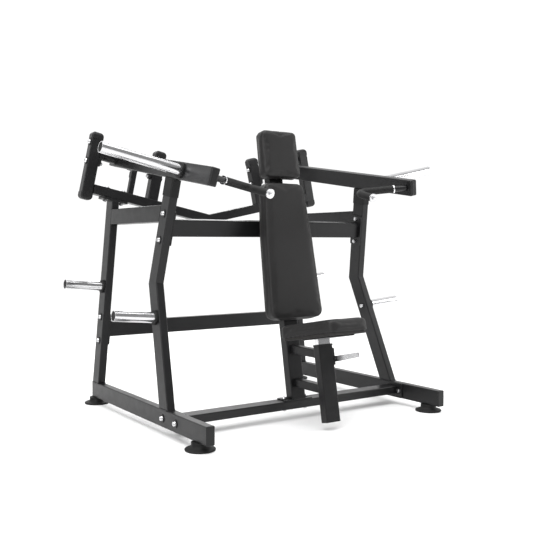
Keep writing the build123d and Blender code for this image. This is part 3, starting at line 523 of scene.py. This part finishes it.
class BeadRow:
    """A geometry node tree that sets small rounded pieces along an outline."""

    INPUTS = ("Spacing", "Length", "Thickness", "Unevenness")
    NODES: ClassVar[dict[str, str]] = {
        "given": "NodeGroupInput",
        "curve": "GeometryNodeMeshToCurve",
        "resample": "GeometryNodeResampleCurve",
        "tangent": "GeometryNodeInputTangent",
        "align": "FunctionNodeAlignRotationToVector",
        "bead": "GeometryNodeMeshUVSphere",
        "size": "ShaderNodeCombineXYZ",
        "uneven": "FunctionNodeRandomValue",
        "low": "ShaderNodeMath",
        "high": "ShaderNodeMath",
        "scale": "ShaderNodeVectorMath",
        "place": "GeometryNodeInstanceOnPoints",
        "real": "GeometryNodeRealizeInstances",
        "paint": "GeometryNodeSetMaterial",
        "out": "NodeGroupOutput",
    }
    # node, input, value
    SETTINGS = (
        ("bead", "Segments", 8),
        ("bead", "Rings", 6),
        ("low", 0, 1.0),
        ("high", 0, 1.0),
        ("bead", "Radius", 0.5),
    )
    # source node, its output, target node, its input
    LINKS = (
        ("given", "Geometry", "curve", "Mesh"),
        ("curve", "Curve", "resample", "Curve"),
        ("given", "Spacing", "resample", "Length"),
        ("tangent", "Tangent", "align", "Vector"),
        ("given", "Thickness", "size", "X"),
        ("given", "Thickness", "size", "Y"),
        ("given", "Length", "size", "Z"),
        ("given", "Unevenness", "low", 1),
        ("given", "Unevenness", "high", 1),
        ("low", "Value", "uneven", 2),
        ("high", "Value", "uneven", 3),
        ("given", "Seed", "uneven", "Seed"),
        ("size", "Vector", "scale", 0),
        ("uneven", 1, "scale", "Scale"),
        ("resample", "Curve", "place", "Points"),
        ("bead", "Mesh", "place", "Instance"),
        ("align", "Rotation", "place", "Rotation"),
        ("scale", "Vector", "place", "Scale"),
        ("place", "Instances", "real", "Geometry"),
        ("real", "Geometry", "paint", "Geometry"),
        ("given", "Material", "paint", "Material"),
        ("paint", "Geometry", "out", "Geometry"),
    )

    _tree: ClassVar[bpy.types.NodeTree | None] = None

    @classmethod
    def tree(cls) -> bpy.types.NodeTree:
        """Builds the tree once.

        Returns:
            The node tree, with Spacing, Length, Thickness, Unevenness, Seed and Material inputs.
        """
        if cls._tree:
            return cls._tree
        tree = bpy.data.node_groups.new("row of beads", "GeometryNodeTree")
        face = tree.interface
        face.new_socket("Geometry", in_out="INPUT", socket_type="NodeSocketGeometry")
        for name in cls.INPUTS:
            face.new_socket(name, in_out="INPUT", socket_type="NodeSocketFloat")
        face.new_socket("Seed", in_out="INPUT", socket_type="NodeSocketInt")
        face.new_socket("Material", in_out="INPUT", socket_type="NodeSocketMaterial")
        face.new_socket("Geometry", in_out="OUTPUT", socket_type="NodeSocketGeometry")
        nodes = {name: tree.nodes.new(kind) for name, kind in cls.NODES.items()}
        nodes["resample"].mode = "LENGTH"
        nodes["align"].axis = "Z"
        nodes["low"].operation = "SUBTRACT"
        nodes["scale"].operation = "SCALE"
        for name, socket, value in cls.SETTINGS:
            nodes[name].inputs[socket].default_value = value
        for source, output, target, socket in cls.LINKS:
            tree.links.new(nodes[source].outputs[output], nodes[target].inputs[socket])
        cls._tree = tree
        return tree

    @classmethod
    def along(cls, name: str, loops: list[list[Vector]], finish: Finish,
              **values: float) -> bpy.types.Object:
        """Sets beads along closed outlines and keeps them as one plain mesh.

        Args:
            name: the object's name.
            loops: the outlines.
            finish: the beads' finish.
            values: the tree's inputs by name.

        Returns:
            The object.
        """
        verts = [point for loop in loops for point in loop]
        edges = []
        start = 0
        for loop in loops:
            edges += [(start + i, start + (i + 1) % len(loop)) for i in range(len(loop))]
            start += len(loop)
        guide_mesh = bpy.data.meshes.new(f"{name} guide")
        guide_mesh.from_pydata(verts, edges, [])
        guide = add_object(f"{name} guide", guide_mesh)
        row = guide.modifiers.new("row", "NODES")
        row.node_group = cls.tree()
        values["Material"] = Finishes.get(finish)
        for item in cls.tree().interface.items_tree:
            if item.in_out == "INPUT" and item.name in values:
                row[item.identifier] = values[item.name]
        mesh = evaluated_copy(guide, name)
        bpy.data.objects.remove(guide)
        obj = add_object(name, mesh)
        wear(obj, finish, ALL_SMOOTH)
        return obj


@dataclass
class Cushion:
    """One padded piece: an inflated cover with a piped, stitched seam.

    Args:
        node: the CAD node it stands for.
        facing: the way its soft face looks.
        body: the body it rides on.
        voxel: the cover's mesh size, in metres.
        swell: the most that the cover may swell, in metres.
        nodes: the frame's nodes.
    """

    # how far the cover's sides are drawn in and its face lowered before it is blown up
    TUCK = 0.0015
    LOWERED = 0.002
    NARROWEST = 0.05
    # how deep the part is that lies flat on its board
    HELD_DEPTH = 0.009
    PRESSURE = 4.0
    STIFFNESS: ClassVar[dict[str, float]] = {"tension": 40.0, "compression": 40.0, "shear": 20.0,
                                             "bending": 4.0}
    CLOTH_STEPS = 5
    LAST_FRAME = 20
    # the seam runs round the side this far under the face, and its stitches lie lower still
    SEAM_DEPTH = 0.015
    STITCH_DROP = 0.006
    SEAM_POINTS = 360
    PIPING_RADIUS = 0.0014

    node: str
    facing: Vector
    body: str
    voxel: float
    swell: float
    nodes: dict[str, bpy.types.Object]

    def levels(self) -> tuple[float, float]:
        """How far the back and the face of the cushion lie along its facing.

        Returns:
            The back's and the face's distance.
        """
        heights = [v.co.dot(self.facing) for v in self.nodes[self.node].data.vertices]
        return min(heights), max(heights)

    def shrunk(self) -> bpy.types.Object:
        """A slightly smaller copy of the cushion, remeshed evenly.

        Returns:
            The new object.
        """
        mesh = self.nodes[self.node].data.copy()
        back, face = self.levels()
        centre = sum((v.co for v in mesh.vertices), Vector()) / len(mesh.vertices)
        for v in mesh.vertices:
            height = v.co.dot(self.facing)
            flat = v.co - self.facing * height
            middle = centre - self.facing * centre.dot(self.facing)
            share = (height - back) / (face - back)
            reach = flat - middle
            flat = middle + reach * (1 - self.TUCK / max(reach.length, self.NARROWEST))
            v.co = flat + self.facing * (back + share * (face - back - self.LOWERED))
        obj = add_object(f"{self.node}_cover", mesh)
        remesh = obj.modifiers.new("even", "REMESH")
        remesh.mode = "VOXEL"
        remesh.voxel_size = self.voxel
        fresh = evaluated_copy(obj, f"{self.node}_cover")
        obj.modifiers.clear()
        obj.data = fresh
        bpy.data.meshes.remove(mesh)
        return obj

    def inflate(self, obj: bpy.types.Object) -> None:
        """Blows the cover up as cloth, held flat at its back.

        Args:
            obj: the cover.
        """
        back, _ = self.levels()
        start = [v.co.copy() for v in obj.data.vertices]
        held = obj.vertex_groups.new(name="held")
        flat = [i for i, co in enumerate(start) if co.dot(self.facing) < back + self.HELD_DEPTH]
        held.add(flat, 1.0, "REPLACE")
        cloth = obj.modifiers.new("cloth", "CLOTH")
        settings = cloth.settings
        settings.vertex_group_mass = held.name
        settings.use_pressure = True
        settings.uniform_pressure_force = self.PRESSURE
        for kind, stiffness in self.STIFFNESS.items():
            setattr(settings, f"{kind}_stiffness", stiffness)
        settings.quality = self.CLOTH_STEPS
        settings.effector_weights.gravity = 0.0
        cloth.point_cache.frame_start = 1
        cloth.point_cache.frame_end = self.LAST_FRAME
        scene = bpy.context.scene
        for number in range(1, self.LAST_FRAME + 1):
            scene.frame_set(number)
        blown = evaluated_copy(obj, f"{self.node}_cover")
        scene.frame_set(1)
        obj.modifiers.clear()
        for v, begin in zip(blown.vertices, start):
            move = v.co - begin
            if move.length > self.swell:
                v.co = begin + move * (self.swell / move.length)
        obj.data = blown

    def build(self) -> None:
        """Builds the cover, its seam and its stitches."""
        cover = self.shrunk()
        self.inflate(cover)
        smooth = cover.modifiers.new("smooth", "SMOOTH")
        smooth.iterations = 3
        smooth.factor = 0.4
        finer = cover.modifiers.new("finer", "SUBSURF")
        finer.levels = finer.render_levels = 1
        mesh = evaluated_copy(cover, f"{self.node}_cover")
        cover.modifiers.clear()
        cover.data = mesh
        wear(cover, Finishes.VINYL, ALL_SMOOTH)
        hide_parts(self.node)
        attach(cover, self.body)
        _, face = self.levels()
        point = self.facing * (face - self.SEAM_DEPTH)
        cut = section_loops(self.nodes[self.node].data, point, self.facing)
        outline = even_loop(cut[0], self.SEAM_POINTS)
        surface = BVHTree.FromObject(cover, bpy.context.evaluated_depsgraph_get())
        seam = [surface.find_nearest(p)[0] for p in outline]
        tube = tube_mesh(f"{self.node}_piping", seam, self.PIPING_RADIUS)
        piping = add_object(f"{self.node}_piping", tube)
        lower = [surface.find_nearest(p - self.facing * self.STITCH_DROP)[0] for p in outline]
        stitches = BeadRow.along(f"{self.node}_stitches", [lower], Finishes.THREAD, Spacing=0.0065,
                                 Length=0.0042, Thickness=0.0011, Unevenness=0.08, Seed=7)
        wear(piping, Finishes.VINYL, ALL_SMOOTH)
        for piece in (piping, stitches):
            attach(piece, self.body)
        log.info("cushion %s: %d faces", self.node, len(cover.data.polygons))


@dataclass
class Assembly:
    """CAD nodes that share a body, with the finish of each.

    Args:
        title: what it is, for the log.
        body: the body it rides on.
        nodes: the frame's nodes.
        finishes: the finish of each node by name.
    """

    title: str
    body: str
    nodes: dict[str, bpy.types.Object]
    finishes: dict[str, Finish]

    def build(self) -> None:
        """Dresses every node of the assembly."""
        for name, finish in self.finishes.items():
            wear(self.nodes[name], finish)
        log.info("%s: %d nodes", self.title, len(self.finishes))


@dataclass
class WeldedFrame(Assembly):
    """The standing frame with its weld beads."""

    # a bead's middle line runs this far above what the tube stands on, in metres
    BEAD_LIFT = 0.001
    BEAD_POINTS = 160
    # outlines at least this share of the longest are a tube's outside, and shorter ones its bore
    OUTSIDE_SHARE = 0.93

    def weld(self, name: str, node: str, point: Vector, normal: Vector) -> None:
        """Lays a bead round a tube where a plane cuts it.

        Args:
            name: the bead's name.
            node: the tube's node.
            point: a point on the plane.
            normal: the plane's normal.
        """
        loops = section_loops(self.nodes[node].data, point, normal)
        longest = loop_length(loops[0])
        outer = [even_loop(loop, self.BEAD_POINTS) for loop in loops
                 if loop_length(loop) > longest * self.OUTSIDE_SHARE]
        bead = BeadRow.along(name, outer, Finishes.PAINT, Spacing=0.0022, Length=0.0052,
                             Thickness=0.0056, Unevenness=0.09, Seed=3)
        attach(bead, self.body)

    def build(self) -> None:
        """Dresses the frame and lays its beads."""
        super().build()
        up = Vector((0, 0, 1))
        on_rail = Vector((0, 0, RAIL_TOP + self.BEAD_LIFT))
        for side in ("left", "right"):
            for upright in ("front_upright", "rear_upright"):
                self.weld(f"{side}_{upright}_bead", f"{side}_{upright}", on_rail, up)
        self.weld("spine_foot_bead", "spine_post", Vector((0, 0, SPINE_FOOT + self.BEAD_LIFT)), up)


def arm_finishes(side: str) -> dict[str, Finish]:
    """The finish of each piece of one lever arm.

    Args:
        side: left or right.

    Returns:
        Finishes by node name.
    """
    return {
        f"{side}_arm_tube": Finishes.PAINT,
        f"{side}_pivot_sleeve": Finishes.PAINT,
        f"{side}_pivot_shaft": Finishes.STEEL,
        f"{side}_arm_horn": Finishes.CHROME,
        f"{side}_arm_horn_rubbers": Finishes.RUBBER,
        f"{side}_handle_bar": Finishes.PAINT,
        f"{side}_hand_grip": Finishes.RUBBER,
        f"{side}_handle_fittings": Finishes.ALUMINIUM,
        f"{side}_arm_end_caps": Finishes.PLASTIC,
    }


PAINTED = ("left_base_rail", "right_base_rail", "left_front_upright", "right_front_upright",
           "left_rear_upright", "right_rear_upright", "side_rails", "beam_flange_plates",
           "front_cross_beam", "rear_cross_beam", "base_cross_beam", "vee_beam", "vee_beam_plates",
           "outer_pivot_posts", "inner_pivot_posts", "stop_posts", "spine_post", "spine_bracket",
           "seat_links", "seat_sleeve")


def frame_finishes() -> dict[str, Finish]:
    """The finish of each node of the standing frame.

    Returns:
        Finishes by node name.
    """
    finishes = {name: Finishes.PAINT for name in PAINTED}
    finishes.update({
        "bearing_housings": Finishes.CAST,
        "release_bracket": Finishes.CAST,
        "storage_horns": Finishes.CHROME,
        "frame_bolts": Finishes.CHROME,
        "frame_nuts": Finishes.STEEL,
        "frame_washers": Finishes.WASHER,
        "rubber_feet": Finishes.RUBBER,
        "bumper_caps": Finishes.RUBBER,
        "stop_pads": Finishes.RUBBER,
        "storage_horn_rubbers": Finishes.RUBBER,
        "rail_end_caps": Finishes.PLASTIC,
        "post_end_caps": Finishes.PLASTIC,
        "sleeve_bushing": Finishes.PLASTIC,
        "pad_boards": Finishes.BOARD,
    })
    return finishes


@dataclass(frozen=True)
class Softbox:
    """One area light.

    Args:
        name: its name.
        place: where it stands.
        aim: what it points at.
        size: its two sides, in metres.
        power: its power in watts.
    """

    name: str
    place: Place
    aim: Place
    size: tuple[float, float]
    power: float


class Studio:
    """A pale floor, soft lights and the camera."""

    LIGHTS = (
        Softbox("overhead softbox", (-0.6, -0.9, 3.9), (0.0, 0.0, 0.5), (3.6, 3.6), 90.0),
        Softbox("front left softbox", (-3.9, -1.6, 2.2), (0.0, 0.0, 0.7), (1.6, 2.6), 60.0),
        Softbox("right strip", (3.2, -2.0, 1.9), (0.2, 0.0, 0.7), (0.8, 2.8), 36.0),
        Softbox("rear strip", (0.8, 3.6, 2.4), (0.0, 0.3, 0.8), (3.2, 1.0), 40.0),
    )
    FLOOR_HALF = 30.0
    # the light that comes back from a white ceiling
    CEILING_POWER = 1.75
    CEILING_SPREAD = 70.0
    CEILING_TILT = (12.0, -10.0, 0.0)
    # the way from the camera to the backdrop, and how the surround falls off away from it
    BACKDROP = (0.561, 0.828, 0.0)
    FALL = (("From Min", -0.25), ("From Max", 0.55), ("To Min", 0.34), ("To Max", 1.06))
    WHITE = (1.0, 1.0, 1.0, 1.0)
    # camera: place in metres, turn in degrees, sensor and lens in millimetres
    CAMERA_PLACE = (-2.184, -3.242, 0.852)
    CAMERA_TURN = (88.21, 0.0, -34.11)
    SENSOR = 36.0
    LENS = 51.71

    def floor(self) -> None:
        """Lays a floor that runs on past the camera's view."""
        mesh = bpy.data.meshes.new("studio_floor")
        half = self.FLOOR_HALF
        edge = [(-half, -half, 0), (half, -half, 0), (half, half, 0), (-half, half, 0)]
        mesh.from_pydata(edge, [], [(0, 1, 2, 3)])
        obj = add_object("studio_floor", mesh)
        wear(obj, Finishes.FLOOR, ALL_SMOOTH)

    def lights(self) -> None:
        """Sets the softboxes, the bounced light and the pale surround."""
        for box in self.LIGHTS:
            data = bpy.data.lights.new(box.name, "AREA")
            data.shape = "RECTANGLE"
            data.size, data.size_y = box.size
            data.energy = box.power
            obj = add_object(box.name, data)
            obj.location = box.place
            aim = Vector(box.aim) - Vector(box.place)
            obj.rotation_euler = aim.to_track_quat("-Z", "Y").to_euler()
        ceiling = bpy.data.lights.new("bounced ceiling", "SUN")
        ceiling.energy = self.CEILING_POWER
        ceiling.angle = math.radians(self.CEILING_SPREAD)
        obj = add_object("bounced ceiling", ceiling)
        obj.rotation_euler = [math.radians(turn) for turn in self.CEILING_TILT]
        self.surround()
        bpy.context.scene.view_settings.view_transform = "Standard"

    def surround(self) -> None:
        """A white backdrop behind the machine that falls off to a darker room."""
        world = bpy.data.worlds.new("pale surround")
        world.use_nodes = True
        tree = world.node_tree
        background = tree.nodes["Background"]
        way = tree.nodes.new("ShaderNodeTexCoord")
        dot = tree.nodes.new("ShaderNodeVectorMath")
        dot.operation = "DOT_PRODUCT"
        dot.inputs[1].default_value = self.BACKDROP
        fall = tree.nodes.new("ShaderNodeMapRange")
        fall.interpolation_type = "SMOOTHSTEP"
        for name, value in self.FALL:
            fall.inputs[name].default_value = value
        tree.links.new(way.outputs["Generated"], dot.inputs[0])
        tree.links.new(dot.outputs["Value"], fall.inputs["Value"])
        tree.links.new(fall.outputs["Result"], background.inputs["Strength"])
        background.inputs["Color"].default_value = self.WHITE
        bpy.context.scene.world = world

    def camera(self) -> None:
        """Sets the camera at standing height, off the machine's front left corner."""
        data = bpy.data.cameras.new("camera")
        data.sensor_width = self.SENSOR
        data.lens = self.LENS
        obj = add_object("camera", data)
        obj.location = self.CAMERA_PLACE
        obj.rotation_euler = [math.radians(turn) for turn in self.CAMERA_TURN]
        bpy.context.scene.camera = obj

    def build(self) -> None:
        """Builds the whole studio."""
        self.floor()
        self.lights()
        self.camera()


def main() -> None:
    """Builds the looks in order."""
    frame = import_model()
    nodes = frame["nodes"]
    WeldedFrame("frame", "frame", nodes, frame_finishes()).build()
    for side in ("left", "right"):
        Assembly(f"{side} arm", f"{side}_arm", nodes, arm_finishes(side)).build()
    seat = {"seat_post": Finishes.CHROME, "seat_plate": Finishes.PAINT,
            "seat_board": Finishes.BOARD}
    Assembly("seat", "seat", nodes, seat).build()
    Assembly("release lever", "release_lever", nodes, {"release_lever": Finishes.ZINC}).build()
    Assembly("lock pin", "lock_pin", nodes, {"lock_pin": Finishes.CHROME}).build()
    cushions = (
        Cushion("back_pad", PAD_FACING, "frame", 0.006, 0.0035, nodes),
        Cushion("head_pad", PAD_FACING, "frame", 0.005, 0.003, nodes),
        Cushion("seat_pad", SEAT_FACING, "seat", 0.005, 0.0035, nodes),
    )
    for cushion in cushions:
        cushion.build()
    Studio().build()


if __name__ == "__main__":
    main()
